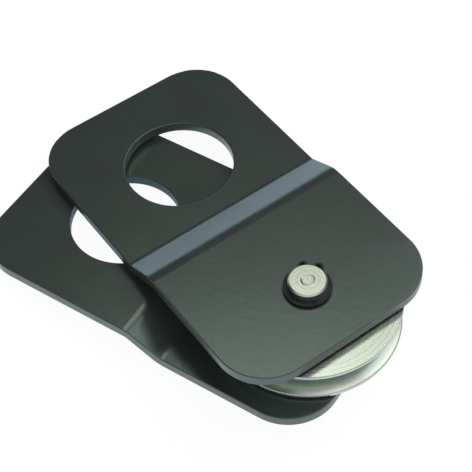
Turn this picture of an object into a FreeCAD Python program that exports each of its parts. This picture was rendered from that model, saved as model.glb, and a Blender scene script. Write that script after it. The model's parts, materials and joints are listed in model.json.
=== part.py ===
import FreeCAD, Part

import math
import os

# A swing-cheek pulley block for a small winch, lying open: a grooved sheave turns on a
# centre pin between two joggled side plates, and each plate ends in a shackle hole.
# All sizes are in millimetres and all angles in degrees.
# +Z runs along the centre pin, the origin is on the pin's axis half way between the
# plates, and +X runs from the pin towards the lower plate's shackle hole.

# Wire rope and sheave
rope_diameter = 6.0
rope_ease = 0.2
rope_cover = 0.75
flank_angle = 20.0
rim_land = 1.3
lip_round = 0.5
rim_round = 0.3
sheave_diameter = 61.5

# Centre pin, bush and thrust washers
pin_diameter = 12.7
pin_end_land = 2.75
pin_chamfer = 0.5
centre_mark_radius = 2.1
centre_mark_width = 0.7
centre_mark_depth = 0.25
bush_wall = 2.15
bush_chamfer = 0.3
bush_running_clearance = 0.05
washer_width = 6.0
washer_thickness = 0.5
washer_bore_clearance = 0.15
side_clearance = 0.3

# Retaining rings
ring_thickness = 1.0
ring_seat_depth = 0.35
ring_seat_clearance = 0.03
ring_plate_clearance = 0.15
ring_back_width = 2.3
ring_front_width = 1.5
ring_ear_radius = 1.6
ring_ear_reach = 2.0
ring_ear_hole = 1.6
ring_ear_wall = 0.5
ring_opening = 2.4
ring_ear_blend = 0.5
ring_ear_direction = -67.0

# Side plates
plate_thickness = 4.0
plate_width = 76.0
plate_edge_round = 0.4
pin_to_sheave_end = 22.5
sheave_corner_radius = 17.5
shackle_corner_radius = 17.0
rim_to_first_bend = 3.3
joggle_angle = 26.5
sheave_bend_inner_radius = 7.0
shackle_bend_inner_radius = 4.0
bend_to_shackle_hole = 7.88
shackle_hole_diameter = 38.1
shackle_hole_to_end = 18.95
plate_pin_clearance = 0.08
shackle_part_gap = 1.6
spread_angle = 21.3

# Sheave section, worked out from the rope
groove_radius = rope_diameter / 2 + rope_ease
sheave_radius = sheave_diameter / 2
root_radius = sheave_radius - rope_diameter - rope_cover
flank_slope = math.tan(math.radians(flank_angle))
apex_radius = root_radius + groove_radius - groove_radius / math.sin(math.radians(flank_angle))
groove_mouth = (sheave_radius - apex_radius) * flank_slope
sheave_half_thickness = groove_mouth + rim_land

# Levels above the middle plane, the same on both sides
pin_radius = pin_diameter / 2
bush_inner_radius = pin_radius + bush_running_clearance
bush_outer_radius = bush_inner_radius + bush_wall
washer_inner_radius = pin_radius + washer_bore_clearance
plate_inner_level = sheave_half_thickness + side_clearance + washer_thickness
plate_outer_level = plate_inner_level + plate_thickness
ring_level = plate_outer_level + ring_plate_clearance
ring_seat_radius = pin_radius - ring_seat_depth
pin_half_length = ring_level + ring_thickness + pin_end_land
above_plates = plate_outer_level + plate_thickness

# Places along the plate, measured from the pin
joggle_depth = plate_inner_level - shackle_part_gap / 2
first_bend = sheave_radius + rim_to_first_bend
second_bend = first_bend + joggle_depth / math.tan(math.radians(joggle_angle))
pin_to_shackle_hole = second_bend + bend_to_shackle_hole + shackle_hole_diameter / 2
pin_to_shackle_end = pin_to_shackle_hole + shackle_hole_diameter / 2 + shackle_hole_to_end

# How far a direction may lean and still count as level or upright
level_tolerance = 0.01

ORIGIN = FreeCAD.Vector(0, 0, 0)
UP = FreeCAD.Vector(0, 0, 1)


def rounded_wire(corners, radii):
    """Closed wire through flat corners, each rounded by an arc of its own radius."""
    edges = []
    ends = []
    arcs = []
    for index, (corner, radius) in enumerate(zip(corners, radii)):
        to_previous = corners[index - 1] - corner
        to_next = corners[(index + 1) % len(corners)] - corner
        to_previous.normalize()
        to_next.normalize()
        if radius == 0:
            ends.append((corner, corner))
            arcs.append(None)
            continue
        half_angle = to_previous.getAngle(to_next) / 2
        inwards = (to_previous + to_next).normalize()
        reach = radius / math.tan(half_angle)
        start = corner + to_previous * reach
        end = corner + to_next * reach
        middle = corner + inwards * (radius / math.sin(half_angle) - radius)
        ends.append((start, end))
        arcs.append(Part.Arc(start, middle, end))
    for index, (start, end) in enumerate(ends):
        previous_end = ends[index - 1][1]
        edges.append(Part.LineSegment(previous_end, start).toShape())
        if arcs[index]:
            edges.append(arcs[index].toShape())
    return Part.Wire(edges)


def turned(section, radii):
    """Solid of revolution about the pin's axis from (radius, height) corners."""
    corners = [FreeCAD.Vector(radius, 0, height) for radius, height in section]
    face = Part.Face(rounded_wire(corners, radii))
    return face.revolve(ORIGIN, UP, 360)


def disc(radius, bottom, top, x=0.0, y=0.0):
    """Upright cylinder between two heights."""
    return Part.makeCylinder(radius, top - bottom, FreeCAD.Vector(x, y, bottom), UP)


def mirrored(shape):
    """The same piece on the other side of the middle plane."""
    return shape.mirror(ORIGIN, UP)


def turned_about_pin(shape, angle):
    """A copy turned about the pin's axis."""
    copy = shape.copy()
    copy.rotate(ORIGIN, UP, angle)
    return copy


def joggled_strip():
    """The plate's side profile across its full width: flat, two opposite bends, flat."""
    slant_shift = plate_thickness * math.tan(math.radians(joggle_angle) / 2)
    sheave_bend_outer_radius = sheave_bend_inner_radius + plate_thickness
    shackle_bend_outer_radius = shackle_bend_inner_radius + plate_thickness
    shackle_inner_level = shackle_part_gap / 2
    shackle_outer_level = shackle_inner_level + plate_thickness
    profile = [
        (-pin_to_sheave_end, plate_outer_level, 0),
        (first_bend, plate_outer_level, sheave_bend_outer_radius),
        (second_bend, shackle_outer_level, shackle_bend_inner_radius),
        (pin_to_shackle_end, shackle_outer_level, 0),
        (pin_to_shackle_end, shackle_inner_level, 0),
        (second_bend - slant_shift, shackle_inner_level, shackle_bend_outer_radius),
        (first_bend - slant_shift, plate_inner_level, sheave_bend_inner_radius),
        (-pin_to_sheave_end, plate_inner_level, 0),
    ]
    corners = [FreeCAD.Vector(x, -plate_width / 2, z) for x, z, radius in profile]
    radii = [radius for x, z, radius in profile]
    face = Part.Face(rounded_wire(corners, radii))
    return face.extrude(FreeCAD.Vector(0, plate_width, 0))


def plate_outline_prism():
    """The plate's outline from above, a rectangle with wide corner arcs, as a tall prism."""
    half_width = plate_width / 2
    corners = [
        FreeCAD.Vector(-pin_to_sheave_end, -half_width, 0),
        FreeCAD.Vector(pin_to_shackle_end, -half_width, 0),
        FreeCAD.Vector(pin_to_shackle_end, half_width, 0),
        FreeCAD.Vector(-pin_to_sheave_end, half_width, 0),
    ]
    radii = [sheave_corner_radius, shackle_corner_radius, shackle_corner_radius, sheave_corner_radius]
    face = Part.Face(rounded_wire(corners, radii))
    return face.extrude(FreeCAD.Vector(0, 0, above_plates))


def is_wall(face):
    """True for an upright face of the plate."""
    first_u, last_u, first_v, last_v = face.ParameterRange
    normal = face.normalAt((first_u + last_u) / 2, (first_v + last_v) / 2)
    return abs(normal.z) < level_tolerance


def rim_edges(plate):
    """The edges in which the plate's broad faces meet its upright walls."""
    rims = []
    for edge in plate.Edges:
        walls = [is_wall(face) for face in plate.ancestorsOfType(edge, Part.Face)]
        if walls.count(True) == 1 and walls.count(False) == 1:
            rims.append(edge)
    return rims


def side_plate():
    """One joggled plate above the middle plane, with its shackle hole along +X."""
    plate = joggled_strip().common(plate_outline_prism())
    shackle_hole = disc(shackle_hole_diameter / 2, 0, above_plates, pin_to_shackle_hole)
    plate = plate.cut(shackle_hole).Solids[0]
    plate = plate.makeFillet(plate_edge_round, rim_edges(plate))
    pin_hole = disc(pin_radius + plate_pin_clearance, 0, above_plates)
    return plate.cut(pin_hole).Solids[0]


def sheave():
    """Grooved wheel: a rope groove with a round root, leaning flanks and thin rims."""
    half = sheave_half_thickness
    section = [
        (bush_outer_radius, -half),
        (sheave_radius, -half),
        (sheave_radius, -groove_mouth),
        (apex_radius, 0),
        (sheave_radius, groove_mouth),
        (sheave_radius, half),
        (bush_outer_radius, half),
    ]
    radii = [0, rim_round, lip_round, groove_radius, lip_round, rim_round, 0]
    return turned(section, radii)


def sheave_bush():
    """Plain bearing bush pressed into the sheave, with a chamfer at each edge."""
    half = sheave_half_thickness
    inner = bush_inner_radius
    outer = bush_outer_radius
    section = [
        (inner, -half + bush_chamfer),
        (inner + bush_chamfer, -half),
        (outer - bush_chamfer, -half),
        (outer, -half + bush_chamfer),
        (outer, half - bush_chamfer),
        (outer - bush_chamfer, half),
        (inner + bush_chamfer, half),
        (inner, half - bush_chamfer),
    ]
    return turned(section, [0] * len(section))


def centre_pin():
    """Turned pin with a ring seat near each end, chamfered ends and a turned centre mark."""
    seat_bottom = ring_level - ring_seat_clearance
    seat_top = ring_level + ring_thickness + ring_seat_clearance
    upper_half = [
        (pin_radius, seat_bottom),
        (ring_seat_radius, seat_bottom),
        (ring_seat_radius, seat_top),
        (pin_radius, seat_top),
        (pin_radius, pin_half_length - pin_chamfer),
        (pin_radius - pin_chamfer, pin_half_length),
        (centre_mark_radius + centre_mark_width / 2, pin_half_length),
        (centre_mark_radius, pin_half_length - centre_mark_depth),
        (centre_mark_radius - centre_mark_width / 2, pin_half_length),
        (0, pin_half_length),
    ]
    lower_half = [(radius, -height) for radius, height in reversed(upper_half)]
    section = lower_half + upper_half
    return turned(section, [0] * len(section))


def thrust_washer():
    """Thin washer on the upper plate's inner face, between the plate and the sheave."""
    bottom = plate_inner_level - washer_thickness
    washer = disc(washer_inner_radius + washer_width, bottom, plate_inner_level)
    return washer.cut(disc(washer_inner_radius, bottom, plate_inner_level))


def retaining_ring():
    """Spring ring in the pin's upper seat, widest at its back, with two drilled ears."""
    bottom = ring_level
    top = ring_level + ring_thickness
    inner_radius = ring_seat_radius + ring_seat_clearance
    outer_radius = inner_radius + (ring_back_width + ring_front_width) / 2
    body = disc(outer_radius, bottom, top, (ring_front_width - ring_back_width) / 2)
    ear_distance = inner_radius + ring_ear_reach
    ear_side = ring_opening / 2 + ring_ear_wall + ring_ear_hole / 2
    ear_forward = math.sqrt(ear_distance ** 2 - ear_side ** 2)
    ears = [disc(ring_ear_radius, bottom, top, ear_forward, side * ear_side) for side in (-1, 1)]
    ring = body.fuse(ears).removeSplitter()
    valleys = [edge for edge in ring.Edges if is_valley(edge)]
    ring = ring.makeFillet(ring_ear_blend, valleys)
    reach = ear_distance + ring_ear_radius
    opening = Part.makeBox(reach, ring_opening, ring_thickness, FreeCAD.Vector(0, -ring_opening / 2, bottom))
    ring = ring.cut([disc(inner_radius, bottom, top), opening])
    holes = [disc(ring_ear_hole / 2, bottom, top, ear_forward, side * ear_side) for side in (-1, 1)]
    ring = ring.cut(holes).Solids[0]
    return turned_about_pin(ring, ring_ear_direction)


def is_valley(edge):
    """True for the upright edge where an ear leaves the ring's round outside."""
    upright = abs(edge.tangentAt(edge.FirstParameter).z) > 1 - level_tolerance
    middle = edge.CenterOfMass
    beside_ear = middle.x > 0 and abs(middle.y) > ring_opening / 2 + ring_ear_radius
    return upright and beside_ear


def build():
    """All pieces by name, with the upper plate swung out to its resting place."""
    plate = side_plate()
    washer = thrust_washer()
    ring = retaining_ring()
    return {
        "upper_side_plate": turned_about_pin(plate, -spread_angle),
        "lower_side_plate": mirrored(plate),
        "sheave": sheave(),
        "sheave_bush": sheave_bush(),
        "centre_pin": centre_pin(),
        "upper_thrust_washer": washer,
        "lower_thrust_washer": mirrored(washer),
        "upper_retaining_ring": ring,
        "lower_retaining_ring": mirrored(ring),
    }


os.makedirs("parts", exist_ok=True)
for name, shape in build().items():
    shape.exportStep(os.path.join("parts", name + ".step"))
    print(name, "solids", len(shape.Solids), "valid", shape.isValid(), "volume", round(shape.Volume, 1))
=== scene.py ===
import json
import math

import bpy
import numpy as np
from mathutils import Matrix, Vector


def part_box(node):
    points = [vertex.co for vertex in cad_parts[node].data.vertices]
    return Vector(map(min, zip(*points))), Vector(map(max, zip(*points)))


# Looks for a swing-cheek pulley block that lies open on a white table: satin powder coating on
# the side plates, zinc plating on the sheave and the centre pin, blackened retaining rings.
# Lengths are in metres in the part's own frame and angles in degrees.
# Surface colours are in sRGB; the colours of lamps and of the room are linear.

MILLIMETRE = 0.001
WHITE = (1.0, 1.0, 1.0)

# Camera, as azimuth and elevation round the block and a turn about its own line of sight
camera_azimuth = 216.043
camera_elevation = 51.717
camera_roll = -4.162
camera_distance = 0.43882
camera_target = Vector((0.03564, -0.01257, 0.0))
camera_lens = 99.085

# Table top, with its own glow where it is seen directly or mirrored
table_radius = 0.6
table_points = 96
table_albedo = 0.85
table_albedo_seen = 0.12
table_glow_seen = 0.94
table_white_mirrored = (0.95, 0.98, 1.0)
table_shade_mirrored = (0.63, 0.72, 0.80)
table_shade_margin = 3 * MILLIMETRE

# Room: wide lobes of light, each with its azimuth from the camera, elevation and colour
room_lobes = [
    (0.0, 20.0, (0.52, 0.60, 0.74)),
    (90.0, 50.0, (0.18, 0.15, 0.15)),
]

# Low white sweep behind the block: it fades out between two elevations, and to the sides
# between two cosines of the angle to its middle
sweep_colour = (1.22, 1.58, 2.00)
sweep_top = 11.0
sweep_end = 19.0
sweep_edge = 0.80
sweep_middle = 0.93

# Soft lamps: name, azimuth from the camera, elevation, distance, width, height, power, colour
soft_lamps = [
    ("key_softbox", 180.0, 67.0, 0.9, 0.27, 0.24, 0.54, (0.86, 1.0, 0.92)),
    ("side_softbox", 115.0, 53.0, 0.9, 0.80, 0.48, 1.85, (0.87, 0.99, 1.0)),
    ("top_softbox", 60.0, 74.0, 0.9, 0.27, 0.24, 0.24, (1.0, 1.0, 0.96)),
]

# Between the first two values lies most of a noise; above the third one only its rare peaks
noise_low = 0.35
noise_high = 0.65
noise_peak = 0.80

# Powder coating
coating_dark = (0.234, 0.255, 0.229)
coating_light = (0.252, 0.277, 0.247)
coating_gloss_tint = (0.94, 1.0, 0.96)
coating_ior = 1.9
coating_smooth = 0.25
coating_rough = 0.27
coating_rubbed = 0.008
coating_cloud_size = 18 * MILLIMETRE
coating_cloud_share = 0.5
coating_speck_size = 0.5 * MILLIMETRE
coating_mark_size = 1.5 * MILLIMETRE
coating_mark_stretch = (1.0, 22.0, 1.0)
coating_peel_size = 2.6 * MILLIMETRE
coating_peel_depth = 0.03 * MILLIMETRE

# Zinc plating, the same on the sheave and the pin
zinc_dull_share = 0.88
zinc_cloud_size = 5 * MILLIMETRE
zinc_grain_size = 0.35 * MILLIMETRE
zinc_grain_depth = 0.0003 * MILLIMETRE
zinc_line_share = 0.8

# The sheave's plating, over coarse feed lines
sheave_zinc_pale = (0.88, 0.87, 0.83)
sheave_zinc_yellow = (0.86, 0.88, 0.78)
sheave_line_pitch = 0.55 * MILLIMETRE
sheave_line_depth = 0.003 * MILLIMETRE
sheave_smooth = 0.25
sheave_rough = 0.29

# Painted shade in the rope groove, darker by depth below the rim and distance from the faces
groove_shade_colour = (0.58, 0.64, 0.60)
groove_shade_start = 1.0 * MILLIMETRE
groove_shade_end = 3.6 * MILLIMETRE
groove_shade_face_margin = 0.5 * MILLIMETRE

# The pin's plating, over fine facing lines
pin_zinc_pale = (0.99, 0.98, 0.92)
pin_zinc_yellow = (0.95, 0.95, 0.82)
pin_line_pitch = 0.45 * MILLIMETRE
pin_line_depth = 0.002 * MILLIMETRE
pin_smooth = 0.27
pin_rough = 0.30

# Sintered bronze of the bush
bronze_clean = (0.70, 0.52, 0.32)
bronze_oily = (0.52, 0.38, 0.24)
bronze_smooth = 0.36
bronze_rough = 0.52
bronze_pore_size = 0.3 * MILLIMETRE
bronze_pore_depth = 0.004 * MILLIMETRE

# Strip steel of the thrust washers
steel_bright = (0.72, 0.73, 0.70)
steel_rubbed = (0.60, 0.61, 0.59)
steel_smooth = 0.26
steel_rough = 0.40
steel_line_size = 0.25 * MILLIMETRE
steel_line_stretch = (30.0, 1.0, 1.0)
steel_rub_pitch = 0.5 * MILLIMETRE
steel_rub_depth = 0.003 * MILLIMETRE

# Phosphate on the retaining rings
phosphate_dark = (0.040, 0.042, 0.045)
phosphate_grey = (0.070, 0.073, 0.076)
phosphate_smooth = 0.40
phosphate_rough = 0.60
phosphate_crystal_size = 0.2 * MILLIMETRE
phosphate_crystal_depth = 0.003 * MILLIMETRE

# Oil on the bush and the rings
oil_patch_size = 3 * MILLIMETRE


def linear(colour):
    """Linear colour with alpha from an sRGB triple, by the sRGB curve."""
    low_part, slope, offset, power = 0.04045, 12.92, 0.055, 2.4
    channels = []
    for channel in colour:
        if channel <= low_part:
            channels.append(channel / slope)
        else:
            channels.append(((channel + offset) / (1 + offset)) ** power)
    return (*channels, 1.0)


def towards(azimuth, elevation):
    """Unit vector from the block towards a viewer; azimuth 0 looks along +Y, 90 along -X."""
    turn = math.radians(azimuth)
    rise = math.radians(elevation)
    flat = math.cos(rise)
    return Vector((math.sin(turn) * flat, -math.cos(turn) * flat, math.sin(rise)))


# Building blocks for finishes and lights


def new_finish(name, colour, metallic, roughness):
    """A material with one Principled shader; returns it with its node tree and shader."""
    finish = bpy.data.materials.new(name)
    finish.use_nodes = True
    tree = finish.node_tree
    shader = tree.nodes["Principled BSDF"]
    shader.inputs["Base Color"].default_value = linear(colour)
    shader.inputs["Metallic"].default_value = metallic
    shader.inputs["Roughness"].default_value = roughness
    return finish, tree, shader


def object_place(tree):
    """Output socket with the point's place in the part's frame."""
    return tree.nodes.new("ShaderNodeTexCoord").outputs["Object"]


def noise(tree, place, grain, stretch=(1.0, 1.0, 1.0)):
    """Soft noise of about the given grain size, drawn out along the axes by stretch."""
    mapping = tree.nodes.new("ShaderNodeMapping")
    mapping.inputs["Scale"].default_value = [1.0 / part for part in stretch]
    texture = tree.nodes.new("ShaderNodeTexNoise")
    texture.inputs["Scale"].default_value = 1.0 / grain
    tree.links.new(place, mapping.inputs["Vector"])
    tree.links.new(mapping.outputs["Vector"], texture.inputs["Vector"])
    return texture.outputs["Fac"]


def remap(tree, value, low, high, new_low, new_high):
    """Value carried from one range to another, held at the ends."""
    step = tree.nodes.new("ShaderNodeMapRange")
    step.inputs["From Min"].default_value = low
    step.inputs["From Max"].default_value = high
    step.inputs["To Min"].default_value = new_low
    step.inputs["To Max"].default_value = new_high
    tree.links.new(value, step.inputs["Value"])
    return step.outputs["Result"]


def spread(tree, grain, new_low=0.0, new_high=1.0):
    """A noise's usual range carried to a new one."""
    return remap(tree, grain, noise_low, noise_high, new_low, new_high)


def combine(tree, operation, first, second):
    """One arithmetic step on two values, each a socket or a number."""
    step = tree.nodes.new("ShaderNodeMath")
    step.operation = operation
    for socket, value in zip(step.inputs, (first, second)):
        if isinstance(value, (int, float)):
            socket.default_value = value
        else:
            tree.links.new(value, socket)
    return step.outputs["Value"]


def weighted(tree, first, second, share):
    """Mean of two values in which the first one has the given share."""
    parts = combine(tree, "MULTIPLY", first, share), combine(tree, "MULTIPLY", second, 1.0 - share)
    return combine(tree, "ADD", *parts)


def blend_colours(tree, factor, first, second):
    """Mix of two colours, each a socket or an sRGB triple."""
    mix = tree.nodes.new("ShaderNodeMix")
    mix.data_type = "RGBA"
    tree.links.new(factor, mix.inputs["Factor"])
    sockets = [socket for socket in mix.inputs if socket.type == "RGBA"]
    for socket, colour in zip(sockets, (first, second)):
        if isinstance(colour, tuple):
            socket.default_value = linear(colour)
        else:
            tree.links.new(colour, socket)
    return [socket for socket in mix.outputs if socket.type == "RGBA"][0]


def colour_surface(tree, shader, amount, first, second):
    """Base colour that goes from the first colour to the second as the amount rises."""
    tree.links.new(blend_colours(tree, amount, first, second), shader.inputs["Base Color"])


def roughen(tree, shader, grain, smooth, rough):
    """Roughness that goes from smooth to rough over a noise's usual range."""
    tree.links.new(spread(tree, grain, smooth, rough), shader.inputs["Roughness"])


def raise_relief(tree, shader, height, depth, under=None):
    """Bump of the given depth in metres; stacks on another bump where one is given."""
    bump = tree.nodes.new("ShaderNodeBump")
    bump.inputs["Strength"].default_value = 1.0
    bump.inputs["Distance"].default_value = depth
    tree.links.new(height, bump.inputs["Height"])
    if under:
        tree.links.new(under, bump.inputs["Normal"])
    tree.links.new(bump.outputs["Normal"], shader.inputs["Normal"])
    return bump.outputs["Normal"]


def radius_and_height(tree, place):
    """Distance from the pin's axis and height above the middle plane."""
    split = tree.nodes.new("ShaderNodeSeparateXYZ")
    tree.links.new(place, split.inputs["Vector"])
    across = combine(tree, "MULTIPLY", split.outputs["X"], split.outputs["X"])
    along = combine(tree, "MULTIPLY", split.outputs["Y"], split.outputs["Y"])
    radius = combine(tree, "SQRT", combine(tree, "ADD", across, along), 0.0)
    return radius, split.outputs["Z"]


def turning_lines(tree, place, pitch):
    """Lathe lines: noise along the sum of distance from the pin's axis and height."""
    travel = combine(tree, "ADD", *radius_and_height(tree, place))
    texture = tree.nodes.new("ShaderNodeTexNoise")
    texture.noise_dimensions = "1D"
    texture.inputs["Scale"].default_value = 1.0 / pitch
    texture.inputs["Detail"].default_value = 0.0
    tree.links.new(travel, texture.inputs["W"])
    return texture.outputs["Fac"]


def add_light(tree, light_so_far, amount, colour):
    """A light's linear colour times its amount, added to the light so far."""
    step = tree.nodes.new("ShaderNodeVectorMath")
    step.operation = "MULTIPLY_ADD"
    tree.links.new(amount, step.inputs[0])
    step.inputs[1].default_value = colour
    if light_so_far:
        tree.links.new(light_so_far, step.inputs[2])
    return step.outputs["Vector"]


def nearness(tree, direction, middle):
    """Cosine of the angle between a direction and a middle one."""
    step = tree.nodes.new("ShaderNodeVectorMath")
    step.operation = "DOT_PRODUCT"
    step.inputs[1].default_value = middle
    tree.links.new(direction, step.inputs[0])
    return step.outputs["Value"]


# Finishes


def powder_coating():
    """Near-black, slightly green satin coating with fine orange peel and faint handling marks."""
    finish, tree, shader = new_finish("plate_coating", coating_dark, 0.0, coating_rough)
    shader.inputs["IOR"].default_value = coating_ior
    shader.inputs["Specular Tint"].default_value = linear(coating_gloss_tint)
    place = object_place(tree)
    clouds = noise(tree, place, coating_cloud_size)
    specks = noise(tree, place, coating_speck_size)
    peel = noise(tree, place, coating_peel_size)
    marks = noise(tree, place, coating_mark_size, coating_mark_stretch)
    shade = spread(tree, weighted(tree, clouds, specks, coating_cloud_share))
    colour_surface(tree, shader, shade, coating_dark, coating_light)
    satin = spread(tree, clouds, coating_smooth, coating_rough)
    rubbed = remap(tree, marks, noise_high, noise_peak, 0.0, coating_rubbed)
    tree.links.new(combine(tree, "SUBTRACT", satin, rubbed), shader.inputs["Roughness"])
    raise_relief(tree, shader, peel, coating_peel_depth)
    return finish


def zinc_plating(name, pale, yellow, line_pitch, line_depth, smooth, rough):
    """Pale chromated zinc over lathe lines, with cloudy yellow-green and duller lines."""
    finish, tree, shader = new_finish(name, pale, 1.0, rough)
    place = object_place(tree)
    lines = turning_lines(tree, place, line_pitch)
    clouds = noise(tree, place, zinc_cloud_size)
    grain = noise(tree, place, zinc_grain_size)
    tint = blend_colours(tree, spread(tree, clouds), pale, yellow)
    dull = tuple(zinc_dull_share * channel for channel in pale)
    colour_surface(tree, shader, spread(tree, lines), dull, tint)
    roughen(tree, shader, weighted(tree, lines, grain, zinc_line_share), smooth, rough)
    relief = raise_relief(tree, shader, lines, line_depth)
    raise_relief(tree, shader, grain, zinc_grain_depth, relief)
    return finish, tree, shader


def groove_shade_mask(tree):
    """Mask of the painted shade: 0 on the sheave's faces and rims, rising to 1 well inside its rope
    groove.
    """
    low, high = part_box("sheave")
    radius, height = radius_and_height(tree, object_place(tree))
    start, end = high.x - groove_shade_start, high.x - groove_shade_end
    inwards = remap(tree, radius, start, end, 0.0, 1.0)
    face_distance = combine(tree, "SUBTRACT", high.z, combine(tree, "ABSOLUTE", height, 0.0))
    off_faces = remap(tree, face_distance, 0.0, groove_shade_face_margin, 0.0, 1.0)
    return combine(tree, "MULTIPLY", inwards, off_faces)


def sheave_zinc():
    """The sheave's plating, with painted shade that darkens it deep in the rope groove."""
    finish, tree, shader = zinc_plating(
        "sheave_zinc",
        sheave_zinc_pale,
        sheave_zinc_yellow,
        sheave_line_pitch,
        sheave_line_depth,
        sheave_smooth,
        sheave_rough,
    )
    plated = shader.inputs["Base Color"].links[0].from_socket
    # Painted shade: the plating colour darkens towards the root of the rope groove
    colour_surface(tree, shader, groove_shade_mask(tree), plated, groove_shade_colour)
    return finish


def pin_zinc():
    """The pin's plating."""
    finish, tree, shader = zinc_plating(
        "pin_zinc",
        pin_zinc_pale,
        pin_zinc_yellow,
        pin_line_pitch,
        pin_line_depth,
        pin_smooth,
        pin_rough,
    )
    return finish


def bearing_bronze():
    """Oil-stained sintered bronze with fine pores."""
    finish, tree, shader = new_finish("bush_bronze", bronze_clean, 1.0, bronze_rough)
    place = object_place(tree)
    pores = noise(tree, place, bronze_pore_size)
    oil = noise(tree, place, oil_patch_size)
    colour_surface(tree, shader, spread(tree, oil), bronze_clean, bronze_oily)
    roughen(tree, shader, pores, bronze_smooth, bronze_rough)
    raise_relief(tree, shader, pores, bronze_pore_depth)
    return finish


def washer_steel():
    """Bright rolled strip steel with fine lines in one direction and rub rings from turning."""
    finish, tree, shader = new_finish("washer_steel", steel_bright, 1.0, steel_rough)
    place = object_place(tree)
    rolling = noise(tree, place, steel_line_size, steel_line_stretch)
    rubbing = turning_lines(tree, place, steel_rub_pitch)
    colour_surface(tree, shader, spread(tree, rubbing), steel_bright, steel_rubbed)
    roughen(tree, shader, rolling, steel_smooth, steel_rough)
    raise_relief(tree, shader, rubbing, steel_rub_depth)
    return finish


def ring_phosphate():
    """Spring steel blackened by phosphate, matte with a trace of oil."""
    finish, tree, shader = new_finish("ring_phosphate", phosphate_dark, 0.0, phosphate_rough)
    place = object_place(tree)
    crystals = noise(tree, place, phosphate_crystal_size)
    oil = noise(tree, place, oil_patch_size)
    colour_surface(tree, shader, spread(tree, crystals), phosphate_dark, phosphate_grey)
    roughen(tree, shader, oil, phosphate_smooth, phosphate_rough)
    raise_relief(tree, shader, crystals, phosphate_crystal_depth)
    return finish


def finish_nodes(frame):
    """Gives every CAD node the finish of its material slot in the record."""
    finishes = {
        "plate_coating": powder_coating(),
        "sheave_zinc": sheave_zinc(),
        "pin_zinc": pin_zinc(),
        "bush_bronze": bearing_bronze(),
        "washer_steel": washer_steel(),
        "ring_phosphate": ring_phosphate(),
    }
    for subpart in frame["record"]["subparts"]:
        node = frame["nodes"][subpart["node"]]
        node.material_slots[0].material = finishes[subpart["material_slot"]]


# Studio


def shackle_end_level(plate):
    """Lowest height of the lower plate at its shackle end, and the end's place along X."""
    low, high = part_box("lower_side_plate")
    places = np.empty(3 * len(plate.data.vertices), np.float32)
    plate.data.vertices.foreach_get("co", places)
    places = places.reshape(-1, 3)
    near_end = places[:, 0] > high.x - MILLIMETRE
    return float(places[near_end, 2].min()), high.x


def resting_plane(plate):
    """Height at the origin and slope along X of the table that the lying block touches.

    The block rests on the edge of the pin's lower end and on the lower plate's shackle end.
    """
    pin_low, pin_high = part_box("centre_pin")
    end_level, end_x = shackle_end_level(plate)
    slope = (end_level - pin_low.z) / (end_x - pin_high.x)
    return pin_low.z - slope * pin_high.x, slope


def under_shackle_hole(frame, level, slope):
    """Place on the table under the lower plate's shackle hole, and the hole's radius."""
    mounts = {mount["name"]: mount for mount in frame["record"]["mounts"]}
    hole = mounts["lower_shackle_hole"]
    x, y, z = hole["pos_m"]
    return Vector((x, y, level + slope * x)), hole["dims"]["r_mm"] * MILLIMETRE


def shade_inside(tree, middle, radius):
    """1 within a radius round a middle place, fading to 0 over a margin outside it."""
    step = tree.nodes.new("ShaderNodeVectorMath")
    step.operation = "DISTANCE"
    step.inputs[1].default_value = middle
    tree.links.new(object_place(tree), step.inputs[0])
    return remap(tree, step.outputs["Value"], radius, radius + table_shade_margin, 1.0, 0.0)


def table_top(frame):
    """Flat disc under the block, one face with its corners on a circle, on the resting plane."""
    level, slope = resting_plane(frame["nodes"]["lower_side_plate"])
    angles = np.linspace(0.0, 2 * math.pi, table_points, endpoint=False)
    across = table_radius * np.cos(angles) + camera_target.x
    along = table_radius * np.sin(angles)
    places = np.column_stack([across, along, level + slope * across])
    mesh = bpy.data.meshes.new("table_top")
    mesh.from_pydata(places.tolist(), [], [list(range(table_points))])
    table = bpy.data.objects.new("table_top", mesh)
    bpy.context.scene.collection.objects.link(table)
    mesh.materials.append(table_white(*under_shackle_hole(frame, level, slope)))


def seen_directly(tree):
    """1 for camera, glossy and transmission rays, which see the table's own glow."""
    path = tree.nodes.new("ShaderNodeLightPath")
    seen = combine(tree, "MAXIMUM", path.outputs["Is Camera Ray"], path.outputs["Is Glossy Ray"])
    return combine(tree, "MAXIMUM", seen, path.outputs["Is Transmission Ray"])


def table_white(shaded_place, shaded_radius):
    """White table: part of what is seen of it is its own glow, which keeps shadows light.

    Mirrored in the block, the glow is dimmer and bluer in the shade under the shackle hole.
    """
    finish = bpy.data.materials.new("table_white")
    finish.use_nodes = True
    tree = finish.node_tree
    tree.nodes.remove(tree.nodes["Principled BSDF"])
    seen = seen_directly(tree)
    paint = tree.nodes.new("ShaderNodeBsdfDiffuse")
    grey = remap(tree, seen, 0.0, 1.0, table_albedo, table_albedo_seen)
    tree.links.new(grey, paint.inputs["Color"])
    glow = tree.nodes.new("ShaderNodeEmission")
    mirrored = tree.nodes.new("ShaderNodeLightPath").outputs["Is Glossy Ray"]
    shade = shade_inside(tree, shaded_place, shaded_radius)
    dimmed = blend_colours(tree, shade, table_white_mirrored, table_shade_mirrored)
    tree.links.new(blend_colours(tree, mirrored, WHITE, dimmed), glow.inputs["Color"])
    tree.links.new(combine(tree, "MULTIPLY", seen, table_glow_seen), glow.inputs["Strength"])
    both = tree.nodes.new("ShaderNodeAddShader")
    tree.links.new(paint.outputs["BSDF"], both.inputs[0])
    tree.links.new(glow.outputs["Emission"], both.inputs[1])
    tree.links.new(both.outputs["Shader"], tree.nodes["Material Output"].inputs["Surface"])
    return finish


def lobe(tree, direction, azimuth, elevation):
    """Amount of a wide light: the cosine of the angle to its middle, and none behind it."""
    middle = towards(camera_azimuth + azimuth, elevation)
    return combine(tree, "MAXIMUM", nearness(tree, direction, middle), 0.0)


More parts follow.
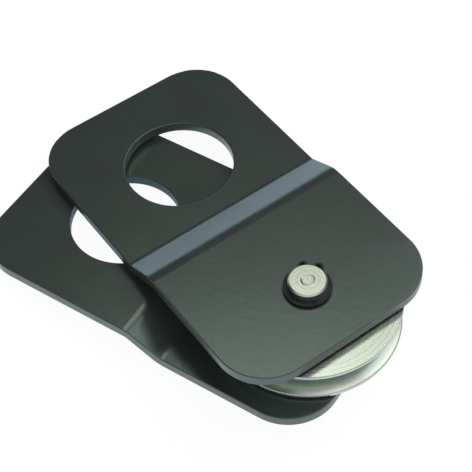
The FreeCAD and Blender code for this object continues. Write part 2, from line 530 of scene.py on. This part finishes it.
def low_sweep(tree, direction):
    """Amount of the white sweep behind the block, which fades out upwards and to both sides."""
    split = tree.nodes.new("ShaderNodeSeparateXYZ")
    tree.links.new(direction, split.inputs["Vector"])
    top, end = (math.sin(math.radians(angle)) for angle in (sweep_top, sweep_end))
    below = remap(tree, split.outputs["Z"], top, end, 1.0, 0.0)
    away = nearness(tree, direction, -towards(camera_azimuth, 0.0))
    behind = remap(tree, away, sweep_edge, sweep_middle, 0.0, 1.0)
    return combine(tree, "MULTIPLY", below, behind)


def studio_world():
    """White to the camera; for light and reflections a room of wide lobes and a low sweep."""
    world = bpy.data.worlds.new("studio")
    bpy.context.scene.world = world
    world.use_nodes = True
    tree = world.node_tree
    direction = tree.nodes.new("ShaderNodeTexCoord").outputs["Generated"]
    light = add_light(tree, None, low_sweep(tree, direction), sweep_colour)
    for azimuth, elevation, colour in room_lobes:
        light = add_light(tree, light, lobe(tree, direction, azimuth, elevation), colour)
    camera_ray = tree.nodes.new("ShaderNodeLightPath").outputs["Is Camera Ray"]
    background = tree.nodes["Background"]
    tree.links.new(blend_colours(tree, camera_ray, light, WHITE), background.inputs["Color"])
    background.inputs["Strength"].default_value = 1.0


def soft_lamp(name, azimuth, elevation, distance, width, height, power, colour):
    """Rectangular soft lamp that faces the block; its azimuth is measured from the camera."""
    lamp = bpy.data.lights.new(name, "AREA")
    lamp.shape = "RECTANGLE"
    lamp.size = width
    lamp.size_y = height
    lamp.energy = power
    lamp.color = colour
    lamp_object = bpy.data.objects.new(name, lamp)
    direction = towards(camera_azimuth + azimuth, elevation)
    lamp_object.location = camera_target + direction * distance
    lamp_object.rotation_euler = direction.to_track_quat("Z", "Y").to_euler()
    lamp_object.visible_camera = False
    bpy.context.scene.collection.objects.link(lamp_object)


def camera():
    """Camera that looks at the target from the photograph's side, rolled about its line of sight."""
    lens = bpy.data.cameras.new("camera")
    lens.lens = camera_lens
    camera_object = bpy.data.objects.new("camera", lens)
    back = towards(camera_azimuth, camera_elevation)
    level_right = Vector((0, 0, 1)).cross(back).normalized()
    level_up = back.cross(level_right)
    roll = math.radians(camera_roll)
    right = level_right * math.cos(roll) + level_up * math.sin(roll)
    up = level_up * math.cos(roll) - level_right * math.sin(roll)
    turn = Matrix((right, up, back)).transposed()
    place = Matrix.Translation(camera_target + back * camera_distance)
    camera_object.matrix_world = place @ turn.to_4x4()
    bpy.context.scene.collection.objects.link(camera_object)
    bpy.context.scene.camera = camera_object


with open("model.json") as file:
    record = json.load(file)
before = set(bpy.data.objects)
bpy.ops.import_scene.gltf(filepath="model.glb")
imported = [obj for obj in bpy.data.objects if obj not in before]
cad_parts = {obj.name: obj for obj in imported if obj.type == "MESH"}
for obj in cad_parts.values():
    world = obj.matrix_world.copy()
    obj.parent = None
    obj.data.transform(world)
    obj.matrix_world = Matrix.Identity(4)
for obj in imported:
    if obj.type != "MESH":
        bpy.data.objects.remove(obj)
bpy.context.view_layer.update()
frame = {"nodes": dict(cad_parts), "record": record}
bpy.context.scene.view_settings.view_transform = "Standard"
finish_nodes(frame)
table_top(frame)
studio_world()
for lamp_values in soft_lamps:
    soft_lamp(*lamp_values)
camera()
